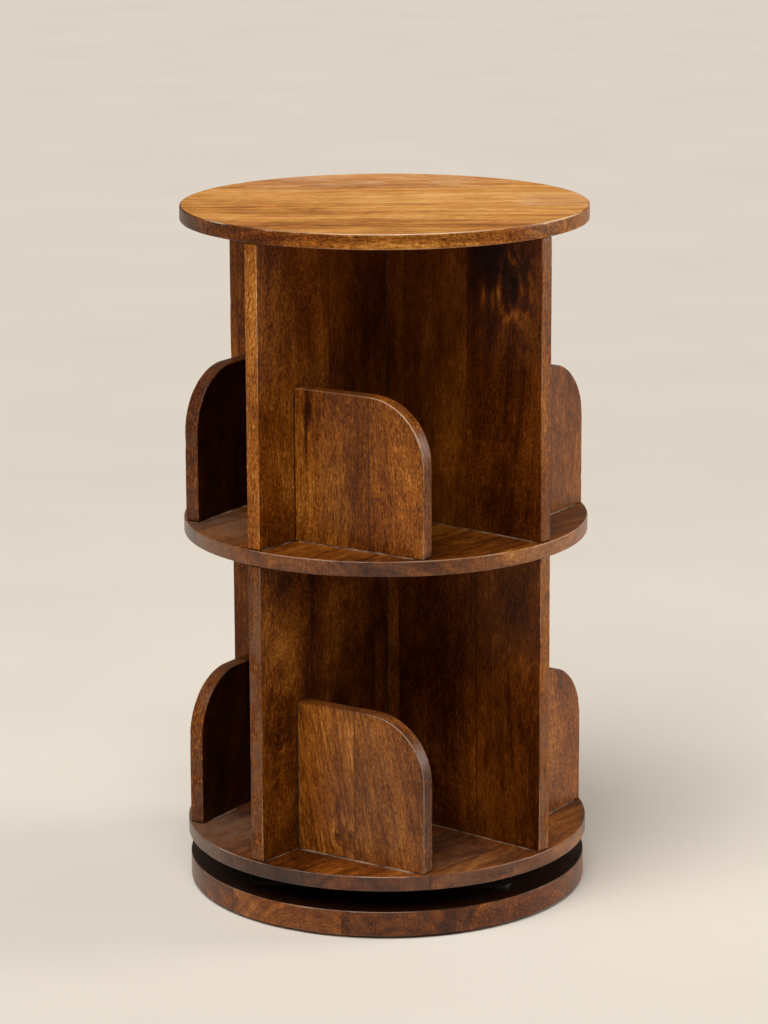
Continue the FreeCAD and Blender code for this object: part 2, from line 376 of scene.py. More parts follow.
@dataclass
class Boards:
    """How the strips of one wooden piece were cut, glued, stained and worn, and where light and shade are
    painted on them. Lengths are in metres.

    A patch is its place across and along the board, its half width, its half length and its strength.
    """

    turn: float  # angle of the direction in which the strips lie side by side
    width: float  # of a strip
    seam: float  # place of one glue line
    seed: float  # picks the logs
    tone: float  # how light the stain came out
    strips: tuple = None  # number of the first strip, and the tone added to it and to each next one
    lying: bool = False  # the grain is level instead of upright
    level: float = 0.0  # height of the middle of a lying board
    lean: float = 0.0  # slope of the grain
    knots: tuple = ()  # place across, place along, size, glow around it
    marks: tuple = ()  # patches that add to the tone; a few are painted shade, and one is a painted pool of light
    coarse: float = 1.0  # size of lines, pores and small clouds on the faces
    drawn_out: float = 1.0  # length of fibres and pores
    streaky: float = 0.45  # tone of broad streaks
    lined: float = 0.30  # tone of fine lines
    mottled: float = 0.45  # tone of small clouds
    smoky: float = 0.75  # tone of large clouds
    flecked: float = 0.80  # tone of pores and fibres
    edge_flecks: float = 1.0  # how much stronger those are on the edges
    golden: float = 1.4  # how much the hue drifts between golden and brown
    painted_back_shade: float = 0.0  # tone added on the back face: painted shade inside the compartments
    edge_tone: float = 0.0  # tone added on the edges
    end_tones: tuple = (-0.20, -0.20)  # tone added on the end grain of both ends
    dust_and_sheen: float = 0.0  # how grey the edges are: dust, and painted sheen
    dulled: tuple = ()  # patches of grey: dust, and painted shade and sheen
    painted_glare: tuple = ()  # patches of painted glare: the room's reflection in the lacquer
    sanded: float = 0.0  # tone of the sander's marks on the edges
    rubbed_and_highlit: float = 0.45  # how pale the arrises are: wear, and painted highlight
    highlight_spot: tuple = None  # painted highlight on the arrises: place across, place along, size, how pale they are
    sheen: float = 0.12  # strength of the lacquer's mirror
    painted_shade_height: float = None  # height over the board's middle above which its top is painted black: painted shade


print("a wood is noted down by", len(Boards.__dataclass_fields__), "values")

# %% Layers of noise in the wood


@dataclass
class Layer:
    """One noise in the wood: patches per metre across and along the grain, octaves, roughness, own seed."""

    across: float
    along: float
    octaves: float
    rough: float
    seed: float

    def at(self, side, deep, way, seed):
        """The noise at a place, which is given to the side, into the board and along the grain."""
        place = (side * self.across, deep * self.across, way * self.along)
        return clouds(*place, self.octaves, self.rough, seed + self.seed)


BEND_ASIDE = Layer(6.0, 2.6, 2.0, 0.5, 0.0)
BEND_DEEP = Layer(6.0, 2.6, 2.0, 0.5, 7.0)
SWAY = Layer(45.0, 22.0, 2.0, 0.5, 11.0)
LINES = Layer(300.0, 7.0, 4.0, 0.7, 2.0)
FIBRES = Layer(750.0, 120.0, 2.0, 0.6, 4.0)
PORES = Layer(800.0, 330.0, 2.0, 0.6, 3.0)
MOTTLE = Layer(85.0, 45.0, 4.0, 0.6, 5.0)
SMOKE = Layer(20.0, 7.0, 3.0, 0.5, 8.0)
SANDING = Layer(600.0, 70.0, 2.0, 0.6, 13.0)
HUE = Layer(40.0, 9.0, 2.0, 0.5, 14.0)
DUST_AND_SHEEN_NOISE = Layer(30.0, 30.0, 3.0, 0.6, 12.0)
WEAR_AND_HIGHLIGHT_NOISE = Layer(9.0, 9.0, 3.0, 0.6, 9.0)
WAVE = Layer(16.0, 9.0, 1.0, 0.4, 6.0)
print("pores are about", round(1000.0 / PORES.along, 1), "mm long")

# %% Strips cut from logs
LOG_DRAWS, STRIP_DRAWS, FLECK_DRAWS = (3.17, 0.0), (5.71, 40.0), (7.43, 80.0)  # step of the draw, own seed
PITH_ASIDE = 0.7  # how far the piths lie apart to the side, in strip widths
PITH_DEPTH, PITH_SPREAD = 0.022, 0.05  # how deep the nearest pith lies, and how much deeper the others lie
LOG_LENGTH = 5.0
SLOPE_SPREAD = 0.10
BENT_ASIDE, BENT_DEEP = 0.050, 0.040
STRIP_TONE_SPREAD = 0.20
FLECK_LEAST, FLECK_SPREAD = 0.5, 0.6


def steps(term, first, values):
    """One value for each whole number of a term, counted from first; values lie between -0.5 and 0.5."""
    place = (term - (first - 0.5)) / float(len(values))
    grey = tint(place, [(i / len(values), (0.5 + v,) * 3) for i, v in enumerate(values)])
    grey.node.color_ramp.interpolation = "CONSTANT"
    return Term(term.tree, grey) - 0.5


def cut_strips(tree, wood):
    """Where a point lies in the board and in its strip's log, and what was drawn for that strip.

    In the board it lies across, through and along. In the log it lies u to the side of the pith, v behind the
    pith and w along it, and slow noise bends u and v.
    """
    across, through, along = place_in(tree, wood.turn)
    if wood.lying:
        through, along = along - wood.level, through
    strip = (across - wood.seam) / wood.width
    number = strip.math("FLOOR")
    within = strip - number
    rows = [draws(number * step + (wood.seed + own)) for step, own in (LOG_DRAWS, STRIP_DRAWS, FLECK_DRAWS)]
    (pith_side, pith_deep, start), (slope, tone, red), (flecks, _, _) = rows
    u = (within - 0.5) * wood.width + (pith_side - 0.5) * (PITH_ASIDE * wood.width)
    u = u + along * ((slope - 0.5) * SLOPE_SPREAD + wood.lean)
    v = through + PITH_DEPTH + pith_deep * PITH_SPREAD
    w = along + start * LOG_LENGTH
    u = u + (BEND_ASIDE.at(u, v, w, wood.seed) - 0.5) * BENT_ASIDE
    v = v + (BEND_DEEP.at(u, v, w, wood.seed) - 0.5) * BENT_DEEP
    return SimpleNamespace(
        across=across, through=through, along=along, within=within, u=u, v=v, w=w, red=red,
        tone=steps(number, *wood.strips) if wood.strips else (tone - 0.5) * STRIP_TONE_SPREAD,
        flecks=flecks * FLECK_SPREAD + FLECK_LEAST,
    )


print("piths lie at least", PITH_DEPTH, "m behind the middle of a board")

# %% Knots and marks
SWAYED = 0.012  # how far patches are drawn aside by the grain
KNOT_LENGTH = 1.7  # length of a knot over its width
KNOT_PUSH = 1.5  # how far a knot pushes the rings, in knot sizes
KNOT_CORE = 9.0  # how much steeper the heart of a knot is than its swell
KNOT_HALO = 2.7  # brings the palest part of a halo to its glow


def gap_from(across, along, patch, power=2.0):
    """Gap from the middle of a patch: both distances over its half sizes, each to a power, added up."""
    patch_across, patch_along, half_width, half_length = patch
    return ((across - patch_across) / half_width) ** power + ((along - patch_along) / half_length) ** power


def knots_and_marks(spot, wood):
    """Push the rings and fibres apart round each knot, and note what knots and marks add to the tone.

    A knot's swell is a bell around it: the ring grows by the swell, and the fibres are moved aside by it.
    """
    spot.ring = (spot.u * spot.u + spot.v * spot.v) ** 0.5
    spot.swayed = spot.across + (SWAY.at(spot.across, spot.through, spot.along, wood.seed) - 0.5) * SWAYED
    spot.bold = spot.heart = spot.halo = spot.marks = spot.through * 0.0
    for knot_across, knot_along, size, glow in wood.knots:
        gap = gap_from(spot.swayed, spot.along, (knot_across, knot_along, size, size * KNOT_LENGTH))
        swell = gap.fall_off()
        spot.ring = spot.ring + swell * (size * KNOT_PUSH)
        spot.u = spot.u - (spot.swayed - knot_across) * swell
        spot.bold = spot.bold + swell
        spot.heart = spot.heart + (gap * KNOT_CORE).fall_off()
        spot.halo = spot.halo + gap * swell * (KNOT_HALO * glow)
    for *patch, added in wood.marks:
        spot.marks = spot.marks + gap_from(spot.swayed, spot.along, patch).fall_off() * added


print("a knot is", KNOT_LENGTH, "times as long as wide")

# %% Figure of the wood
RING_STREAKS, LONG_STREAKS, DEEP_STREAKS = 110.0, 2.6, 4.0  # streaks per metre of ring, along and through
STREAK_OCTAVES, STREAK_ROUGH, STREAK_SEED = 4.0, 0.62, 1.0
KNOT_STREAKS = 0.9  # tone that streaks gain at a knot
KNOT_DARK = 0.30  # how dark the heart of a knot is
PORE_ENDS = (0.28, 0.42)  # noise at which a pore is full, and at which there is none
BROKEN_ENDS = (0.42, 0.60)  # noise at which a broken patch is bare, and at which it is full
FIBRE_SHARE = 0.8


def figure_of(spot, wood):
    """Tone of the wood: streaks by ring + lines + clouds + pores and fibres + strip + knots and marks."""
    streaks = clouds(spot.ring * RING_STREAKS, spot.w * LONG_STREAKS, spot.v * DEEP_STREAKS,
                     STREAK_OCTAVES, STREAK_ROUGH, wood.seed + STREAK_SEED)
    coarse = spot.edge * (1.0 - wood.coarse) + wood.coarse
    fine_u, fine_v, fine_w = spot.u / coarse, spot.v / coarse, spot.w / coarse
    fine_way = fine_w * (1.0 / wood.drawn_out)
    fibres = FIBRES.at(fine_u, fine_v, fine_way, wood.seed)
    pores = PORES.at(fine_u, fine_v, fine_way, wood.seed)
    smoke = SMOKE.at(spot.u, spot.v, spot.w, wood.seed)
    spot.lines = LINES.at(fine_u, fine_v, fine_w, wood.seed)
    spot.mottle = MOTTLE.at(fine_u, fine_v, fine_w, wood.seed)
    spot.dash = 1.0 - pores.rise(*PORE_ENDS)
    spot.broken = spot.mottle.rise(*BROKEN_ENDS)

    tone = (streaks - 0.5) * (spot.bold * KNOT_STREAKS + wood.streaky) + (spot.lines - 0.5) * wood.lined
    tone = tone + (spot.mottle - 0.5) * wood.mottled + (smoke - 0.5) * wood.smoky + spot.marks
    tone = tone + spot.tone + wood.tone + spot.halo * spot.broken - spot.heart * KNOT_DARK
    flecks = (pores - 0.5) * spot.flecks + (fibres - 0.5) * FIBRE_SHARE
    return tone + flecks * (spot.edge * (wood.edge_flecks - 1.0) + 1.0) * wood.flecked


print("streaks are about", round(1000.0 / RING_STREAKS, 1), "mm apart")

# %% Edges and glue lines
GLUE_ENDS = (0.0002, 0.0011)  # distance from the middle of a glue line at which it is full, and gone


def carried_value(tree, name):
    """A value that the board's mesh carries at each point, as a term."""
    node = tree.nodes.new("ShaderNodeAttribute")
    node.attribute_name = name
    return Term(tree, node.outputs["Fac"])


def tone_of_edges(tree, spot, wood):
    """Tone added on edges, on the back face as painted shade, on both kinds of end grain and by the sander's
    marks.
    """
    ends = carried_value(tree, "end_grain")
    tone = spot.edge * wood.edge_tone + carried_value(tree, "back") * wood.painted_back_shade
    tone = tone + ends.math("MAXIMUM", 0.0) * wood.end_tones[0]
    tone = tone - ends.math("MINIMUM", 0.0) * wood.end_tones[1]
    if wood.sanded:
        marks = SANDING.at(spot.across, spot.along, spot.through, wood.seed)
        tone = tone + (marks - 0.5) * spot.edge * wood.sanded
    return tone


def glue_line(spot, wood):
    """1 on a glue line and 0 away from it, by the distance to the nearer side of the strip."""
    distance = spot.within.math("MINIMUM", 1.0 - spot.within) * wood.width
    return 1.0 - distance.rise(*GLUE_ENDS)


print("glue lines are", round(2000.0 * GLUE_ENDS[1], 1), "mm wide")

# %% Colour of the surface
RED_LEAST, RED_SPREAD = 0.1, 0.5  # how red the least red strip is, and how much redder the others are
DUST_AND_SHEEN_ENDS, WEAR_AND_HIGHLIGHT_ENDS = (0.36, 0.62), (0.44, 0.62)  # noise at which there is none, and at which it is full
DULLED_STEADY, GLARE_STEADY = 0.6, 0.3  # part of a patch that isn't broken up
PATCH_POWER = 4.0  # makes dulled and painted glare patches flat in their middles
GLUE_DARK = 0.50
PAINTED_SHADE_BLUR = 0.001


def surface_colour(tree, spot, wood, tone):
    """Stain by tone, drifting in hue, under dust and painted sheen, painted glare, glue lines, worn and
    highlit arrises and painted shade.
    """
    hue = HUE.at(spot.u, spot.v, spot.w, wood.seed)
    red = spot.red * RED_SPREAD + RED_LEAST + (hue - 0.5) * wood.golden
    colour = blend(red, stain(tone), RED_WASH, "MULTIPLY")
    place = (spot.across, spot.through, spot.along)
    # Grey on the edges: dust, and painted sheen.
    colour = blend(spot.edge * DUST_AND_SHEEN_NOISE.at(*place, wood.seed).rise(*DUST_AND_SHEEN_ENDS) * wood.dust_and_sheen, colour, DUST_AND_SHEEN_GREY)
    # Dulled patches are dust, and painted shade and sheen; glare patches are painted reflection.
    for patches, veil, steady in ((wood.dulled, DUST_AND_SHEEN_GREY, DULLED_STEADY), (wood.painted_glare, PAINTED_GLARE_TINT, GLARE_STEADY)):
        for *patch, strength in patches:
            inside = gap_from(spot.swayed, spot.along, patch, PATCH_POWER).fall_off()
            colour = blend(inside * (spot.broken * (1.0 - steady) + steady) * strength, colour, veil)
    colour = blend(spot.glue * GLUE_DARK, colour, SEAM_AND_SHADE_DARK)
    # Pale arrises: wear, and painted highlight; the highlight spot is painted highlight only.
    worn = WEAR_AND_HIGHLIGHT_NOISE.at(*place, wood.seed).rise(*WEAR_AND_HIGHLIGHT_ENDS) * wood.rubbed_and_highlit
    if wood.highlight_spot:
        highlight_across, highlight_along, size, pale = wood.highlight_spot
        gap = gap_from(spot.across, spot.along, (highlight_across, highlight_along, size, size))
        worn = worn.math("MAXIMUM", gap.fall_off() * pale)
    colour = blend(carried_value(tree, "arris") * worn, colour, RUBBED_AND_HIGHLIT_ARRIS)
    # Painted shade: the base's top face, in the dark gap under the lowest shelf, is painted black.
    if wood.painted_shade_height is not None:
        colour = blend(spot.through.rise(wood.painted_shade_height - PAINTED_SHADE_BLUR, wood.painted_shade_height), colour, SEAM_AND_SHADE_DARK)
    return colour


print("glue lines are darkened by", GLUE_DARK)

# %% The wood finish
LACQUER_ROUGH, PORE_ROUGH, MOTTLE_ROUGH = 0.34, 0.10, 0.25
LINE_HEIGHT, PORE_DEPTH, GLUE_DEPTH = 0.05, 0.10, 0.18  # in parts of WAVE_DEPTH
WAVE_DEPTH = 0.0011
BUMP_STRENGTH = 0.35


def stained_wood(name, wood):
    """Lacquered boards: the tone picks the stain, and lines, pores and glue lines show in the lacquer."""
    finish, tree, shader = new_finish(name)
    spot = cut_strips(tree, wood)
    knots_and_marks(spot, wood)
    spot.edge = carried_value(tree, "edge")
    spot.glue = glue_line(spot, wood)
    tone = figure_of(spot, wood) + tone_of_edges(tree, spot, wood)
    gloss = spot.dash * PORE_ROUGH + (spot.mottle - 0.5) * MOTTLE_ROUGH + LACQUER_ROUGH
    wave = WAVE.at(spot.across, spot.through, spot.along, wood.seed)
    height = wave + spot.lines * LINE_HEIGHT - spot.dash * PORE_DEPTH - spot.glue * GLUE_DEPTH
    feed(tree, shader.inputs["Base Color"], surface_colour(tree, spot, wood, tone))
    feed(tree, shader.inputs["Roughness"], gloss)
    shader.inputs["Specular IOR Level"].default_value = wood.sheen
    rough_surface(tree, shader, height, WAVE_DEPTH, BUMP_STRENGTH)
    return finish


print("lacquer waves by", WAVE_DEPTH * 1000.0, "mm")

# %% [markdown]
# ## Boards with eased edges
#
# Every board of the bookcase is a flat slab with a convex outline: a circle for a shelf, a rectangle
# for a partition, a rectangle with one large round corner for a stop. A slab with eased edges is a grid
# of rings: they grow from the middle of the front face to the outline, roll over the edge on two quarter
# circles, and shrink to the middle of the back face. A Bevel modifier would ease every edge alike. Here
# the size of the easing changes along the outline, as sanding and handling leave it.

# %% Outlines
CORNER_ROOM = 0.85  # room for easing at a corner, in corner radii
CORNER_REACH = 1.2  # distance from a corner at which the room begins to grow, in corner radii
ROOM_GROWTH = 0.4  # room gained for each metre farther away
ARC_POINTS, RUN_POINTS = 5, 3  # fewest points on an arc, and on a straight run with its ends
SIDES = np.array([(1.0, 0.0), (0.0, 1.0), (-1.0, 0.0), (0.0, -1.0)])  # ways along a board's four sides


def circle_outline(radius, count):
    """Points of a circle, their outward directions, and the room there for easing the edge."""
    turn = np.linspace(0.0, 2.0 * np.pi, count, endpoint=False)
    outward = np.stack([np.cos(turn), np.sin(turn)], -1)
    return radius * outward, outward, np.full(count, radius)


def sheet_outline(start, end, tall, radii, step):
    """Outline of an upright board from start to end: straight runs between quarter arcs of four radii.

    An arc is its centre plus the radius times the cosine and sine of the turn. The room for easing is nearly
    the radius at a small corner, and grows with the distance from it.
    """
    corners, radii = np.array([(start, 0.0), (end, 0.0), (end, tall), (start, tall)]), np.array(radii)
    points, outward = [], []
    for i, (corner, radius) in enumerate(zip(corners, radii)):
        come, go, after = SIDES[i - 1], SIDES[i], (i + 1) % len(corners)
        side = np.array([come[1], -come[0]])
        share = np.linspace(0.0, 1.0, max(ARC_POINTS, int(radius * math.pi / 2 / step)))
        turn = math.atan2(side[1], side[0]) + math.pi / 2 * share
        arc = np.stack([np.cos(turn), np.sin(turn)], -1)
        run_from, run_to = corner + go * radius, corners[after] - go * radii[after]
        share = np.linspace(0.0, 1.0, max(RUN_POINTS, int(np.hypot(*(run_to - run_from)) / step)))[1:-1, None]
        points += [corner - come * radius + radius * (arc - side), run_from + (run_to - run_from) * share]
        outward += [arc, np.tile([go[1], -go[0]], (len(share), 1))]
    points = np.vstack(points)
    gaps = np.hypot(*(points[:, None] - corners).transpose(2, 0, 1))
    room = CORNER_ROOM * radii + ROOM_GROWTH * np.maximum(0.0, gaps - CORNER_REACH * radii)
    return points, np.vstack(outward), room.min(1)


print("points round a board of 30 by 20 cm:", len(sheet_outline(0.0, 0.3, 0.2, [0.002] * 4, 0.005)[0]))

# %% Uneven easing
PHASES = (0.0, 6.3)  # about one full turn
EASE_WAVES, WAVE_RANGE, UNEVEN = 9, (0.2, 1.0), 0.39  # number of sines, their pace, their height
SPOT_DEPTHS, SPOT_WIDTHS = (0.3, 1.0), (0.002, 0.006)  # of worn spots


def hand_waves(points, seed, wave=0.05, worn=6):
    """A value along a closed outline, near 1: the mean of some sines, plus bells where knocks wore it."""
    draw = np.random.default_rng(seed)
    way = np.cumsum(np.hypot(*np.diff(points, axis=0, append=points[:1]).T))
    whole = way[-1]
    beats = np.maximum(1, np.round(whole / wave * draw.uniform(*WAVE_RANGE, EASE_WAVES)))
    turns = 2.0 * np.pi * way[:, None] / whole * beats
    value = 1.0 + UNEVEN * np.sin(turns + draw.uniform(*PHASES, EASE_WAVES)).mean(1)
    gap = np.abs(way[:, None] - draw.uniform(0.0, whole, worn))
    gap = np.minimum(gap, whole - gap)
    depths = draw.uniform(*SPOT_DEPTHS, worn)
    widths = draw.uniform(*SPOT_WIDTHS, worn)
    return value + (depths * np.exp(-((gap / widths) ** 2))).sum(1)


print("easing of a shelf varies by", np.round(np.ptp(hand_waves(circle_outline(0.2, 384)[0], 0)), 2))

# %% Rings of a slab
FACE_STEPS = np.array([0.10, 0.25, 0.42, 0.58, 0.72, 0.83, 0.91, 0.955, 0.98, 0.992, 1.0])
ROLL_STEPS = np.radians(np.linspace(90.0, 0.0, 8)[1:])
FLANK_STEPS = np.array([0.6, 0.2, -0.2, -0.6])
# Back arrises get a share of the wear and painted highlight.
BACK_WEAR_AND_HIGHLIGHT = 0.3


def slab_rings(outline, outward, middle, fronts, backs, half):
    """Rings of a slab, each as points (across, up, out), from its front face over the edge to its back face.

    Face rings are the outline scaled to its middle, and edge rings roll over quarter circles: on a roll at
    angle r, the inset is ease * (1 - cos r) and the height is half - ease * (1 - sin r).
    """

    def roll(ease, side):
        inset = ease * (1.0 - np.cos(ROLL_STEPS))[:, None]
        up = side * (half - ease * (1.0 - np.sin(ROLL_STEPS)[:, None]))
        return np.concatenate([outline - outward * inset[..., None], up[..., None]], -1)

    def face(ease, side):
        flat = middle + (outline - outward * ease[:, None] - middle) * FACE_STEPS[:, None, None]
        return np.concatenate([flat, np.full(flat.shape[:2] + (1,), side * half)], -1)

    up = FLANK_STEPS[:, None] * (half - np.maximum(fronts, backs))
    flank = np.concatenate([np.broadcast_to(outline, (len(up), *outline.shape)), up[..., None]], -1)
    back_rings = np.concatenate([face(backs, -1.0), roll(backs, -1.0)])[::-1]
    return np.concatenate([face(fronts, 1.0), roll(fronts, 1.0), flank, back_rings])


def ring_values():
    """Values on the rings: edge is 1 on rolls and flanks, back is 1 on the back, arris peaks on rolls."""
    face, roll, flank = np.zeros(len(FACE_STEPS)), np.zeros(len(ROLL_STEPS)), np.zeros(len(FLANK_STEPS))
    peak = np.sin(2.0 * ROLL_STEPS) ** 2
    return {
        "edge": np.concatenate([face, roll + 1.0, flank + 1.0, roll + 1.0, face]),
        "back": np.concatenate([face, roll, flank, roll, face + 1.0]),
        "arris": np.concatenate([face, peak, flank, BACK_WEAR_AND_HIGHLIGHT * peak[::-1], face]),
    }


print("a slab has", len(ring_values()["edge"]), "rings")

# %% Slabs
HAND_PULL, PULL_WAVE = 0.00012, 0.09  # how far sanding pulls an outline in, and over what length


def slab(outline, outward, room, grain, half, ease, seed):
    """Closed slab between two middle points: its points, its faces and the values carried at each point.

    To the values of the rings comes the end grain: the part of an edge's outward direction that lies along
    the grain.
    """
    fronts = np.minimum(room, ease * hand_waves(outline, seed))
    backs = np.minimum(room, ease * hand_waves(outline, seed + 1))
    pull = HAND_PULL * (hand_waves(outline, seed + 2, PULL_WAVE, worn=0) - 0.5)
    middle = outline.mean(0)
    rings = slab_rings(outline - outward * pull[:, None], outward, middle, fronts, backs, half)
    points = np.vstack([rings.reshape(-1, 3), [[*middle, half], [*middle, -half]]])
    rows, count = rings.shape[:2]
    rounds = ring_values().items()
    carried = {label: np.append(np.repeat(ring, count), ring[[0, -1]]) for label, ring in rounds}
    facing = np.tile(outward @ np.array(grain), rows)
    carried["end_grain"] = carried["edge"] * np.append(facing, [0.0, 0.0])
    index = np.arange(rows * count).reshape(rows, count)
    first, last, front_middle = index[0], index[-1], rows * count
    front_fan = np.stack([np.full(count, front_middle), first, np.roll(first, -1)], -1)
    back_fan = np.stack([np.full(count, front_middle + 1), np.roll(last, -1), last], -1)
    return points, band_quads(index) + front_fan.tolist() + back_fan.tolist(), carried


def volume(points, faces):
    """Volume inside a closed mesh: a sixth of the sum of a . (b x c) over its triangles."""
    corners = np.array([(face[0], *pair) for face in faces for pair in zip(face[1:], face[2:])])
    a, b, c = (points[corners[:, i]] for i in range(3))
    return float((a * np.cross(b, c)).sum() / 6.0)


def smooth_piece(name, body, points, faces, finish):
    """Put a closed surface into the scene as a smooth piece that rides on a body."""
    mesh = bpy.data.meshes.new(name)
    mesh.from_pydata(points.tolist(), [], faces)
    mesh.shade_smooth()
    mesh.materials.append(finish)
    piece = bpy.data.objects.new(name, mesh)
    scene.collection.objects.link(piece)
    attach(piece, body)
    print(f"{name}: {len(faces)} faces, {volume(points, faces) * 1e6:.1f} cm3")
    return piece


def wooden_board(node, body, points, faces, carried, wood):
    """Put a slab in the place of a CAD node, with the values that it carries for its wood."""
    piece = smooth_piece(node + "_board", body, points, faces, stained_wood(node + "_wood", wood))
    for label, values in carried.items():
        attribute = piece.data.attributes.new(label, "FLOAT", "POINT")
        attribute.data.foreach_set("value", values.astype(np.float32))
    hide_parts(node)
    low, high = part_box(node)
    off = max(np.abs(points.min(0) - low).max(), np.abs(points.max(0) - high).max())
    print("  off the CAD node's box by", round(off * 1000.0, 2), "mm at most")


print("sanding pulls an outline in by less than", HAND_PULL * 1000.0, "mm")

# %% [markdown]
# ## Round shelves and base
#
# The three shelves are 15 mm boards, 400 mm across; the base is a little smaller and thicker. The strips
# of the top run across the picture, those of the lower shelves run along the long partitions, and those of
# the base run with the sides of the swivel plate, as their glue lines show. The undersides are sanded by a
# hair, so that the screw heads, which are flush in the CAD model, stand clear of the wood.

# %% Wood of the top
top_wood = Boards(
    turn=LOOK_TURN + math.pi / 2, width=0.1025, seam=-0.008, seed=3.0, tone=0.97,
    strips=(-2, (-0.02, 0.02, 0.04, 0.0)), coarse=2.2, drawn_out=1.4, golden=3.5,
    streaky=0.75, lined=0.84, mottled=0.44, smoky=0.25, flecked=0.62, edge_flecks=1.5, sanded=0.35,
    # The highlight spot paints the white highlight along the front arris.
    edge_tone=-0.14, end_tones=(-0.50, -0.22), rubbed_and_highlit=0.90, highlight_spot=(-0.195, -0.015, 0.095, 0.90),
    marks=((-0.150, 0.070, 0.030, 0.100, -0.12), (-0.060, 0.100, 0.012, 0.060, -0.16),
           (0.130, 0.050, 0.020, 0.100, -0.09), (-0.030, -0.040, 0.020, 0.080, 0.06)),
    # Painted glare: the room's reflection on the back and right of the top.
    painted_glare=((0.150, 0.000, 0.050, 0.120, 0.30), (0.010, -0.172, 0.045, 0.035, 0.35),
           (0.120, 0.095, 0.050, 0.045, 0.22), (-0.010, -0.137, 0.012, 0.012, 0.30)),
)
print("the top's strips are", top_wood.width * 1000.0, "mm wide")

# %% Wood of the two lower shelves and the base
SHELF_WOOD = dict(turn=0.0, width=0.1030, streaky=0.90, mottled=0.60, sheen=0.45, sanded=0.40)
middle_wood = Boards(
    seam=0.010, seed=17.0, tone=0.51, edge_tone=0.17, dust_and_sheen=0.14, rubbed_and_highlit=0.35, **SHELF_WOOD,
    marks=((0.075, -0.178, 0.070, 0.035, -0.22),),
    # The dulled patch greys and darkens the shelf's left part: dust, and painted shade and sheen.
    dulled=((-0.100, -0.150, 0.075, 0.060, 0.80),),
)
lower_wood = Boards(
    seam=-0.050, seed=29.0, tone=0.45, edge_tone=0.01, dust_and_sheen=0.18, rubbed_and_highlit=0.50, **SHELF_WOOD,
    # This mark is a painted pool of light where the short partition's shadow falls.
    marks=((0.175, 0.060, 0.035, 0.050, 0.42),),
    # The first dulled patch greys and darkens the shelf's left part: dust, and painted shade and sheen.
    dulled=((-0.100, -0.150, 0.075, 0.060, 0.90), (0.130, -0.070, 0.060, 0.060, 0.45)),
)
base_wood = Boards(
    turn=math.radians(38.0), width=0.1090, seam=-0.148, seed=41.0, tone=0.53,
    strips=(-1, (-0.09, 0.17, -0.02, 0.08, 0.05)), streaky=0.80, mottled=0.60, dust_and_sheen=0.10, rubbed_and_highlit=0.50,
    # Its top face is painted black: painted shade in the gap under the lowest shelf.
    edge_flecks=1.3, sheen=0.30, sanded=0.20, painted_shade_height=0.0124,
    marks=((-0.135, -0.145, 0.012, 0.040, 0.14), (-0.048, -0.190, 0.012, 0.020, 0.14),
           (-0.024, -0.196, 0.009, 0.020, 0.12), (0.051, -0.191, 0.010, 0.020, 0.16)),
)
print("the base's strips are", base_wood.width * 1000.0, "mm wide")

# %% Discs
ROUND_COUNT = 384
UNDERSIDE_SANDED = 0.00015
SHELF_RADIUS, BASE_RADIUS = 0.200, 0.198
DISC_EASE, TOP_EASE = 0.0011, 0.0015
discs = [
    # node, body, radius, easing of the edge, wood, seed of the easing
    ("top_disc", "carousel", SHELF_RADIUS, TOP_EASE, top_wood, 100),
    ("middle_shelf", "carousel", SHELF_RADIUS, DISC_EASE, middle_wood, 110),
    ("lower_shelf", "carousel", SHELF_RADIUS, DISC_EASE, lower_wood, 120),
    ("base_disc", "base", BASE_RADIUS, DISC_EASE, base_wood, 130),
]
for node, body, radius, ease, wood, seed in discs:
    low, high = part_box(node)
    underside, upside = low[2] + UNDERSIDE_SANDED, high[2]
    wood.lying, wood.level = True, (underside + upside) / 2.0
    grain = (-math.sin(wood.turn), math.cos(wood.turn))
    rim = circle_outline(radius, ROUND_COUNT)
    points, faces, carried = slab(*rim, grain, (upside - underside) / 2.0, ease, seed)
    points[:, 2] += wood.level
    wooden_board(node, body, points, faces, carried, wood)

# %% [markdown]
# ## Partitions
#
# In each tier one long board runs right across and two short ones meet it in the middle. Their grain
# stands upright. They are slabs with rectangular outlines: the first direction of the outline runs along
# the board, the second runs up, and the slab's thickness lies across. Each wood is noted down by what sets
# it apart from the others.

# %% Wood of the partitions
PARTITION_WOOD = dict(width=0.097, rubbed_and_highlit=0.22, edge_flecks=1.5)
upper_long_wood = dict(
    width=0.105, seam=-0.094, seed=65.0, tone=0.46, edge_tone=0.14, mottled=0.34, flecked=1.0,
    edge_flecks=1.1,
    # The first mark darkens the board under the top shelf: painted shade.
    marks=((-0.040, 0.610, 0.055, 0.090, -0.20), (-0.112, 0.570, 0.016, 0.060, 0.14),
           (-0.160, 0.420, 0.020, 0.045, 0.08)),
)
upper_right_wood = dict(
    seam=0.108, seed=71.0, tone=0.42, edge_tone=0.23, dust_and_sheen=0.30, mottled=0.32, smoky=0.60, flecked=0.65,
    strips=(-2, (0.08, 0.08, -0.07)), knots=((0.164, 0.616, 0.015, 0.30),),
    # The first mark darkens the board under the top shelf: painted shade.
    marks=((0.140, 0.645, 0.034, 0.040, -0.30), (0.127, 0.606, 0.0030, 0.011, 0.46),
           (0.138, 0.603, 0.0030, 0.013, 0.52), (0.146, 0.610, 0.0026, 0.009, 0.44),
           (0.150, 0.560, 0.030, 0.040, 0.08), (0.060, 0.540, 0.020, 0.060, 0.08),
           (0.150, 0.400, 0.050, 0.035, -0.15), (0.040, 0.450, 0.020, 0.080, -0.10)),
)
upper_left_wood = dict(seam=0.090, seed=83.0, tone=0.46)
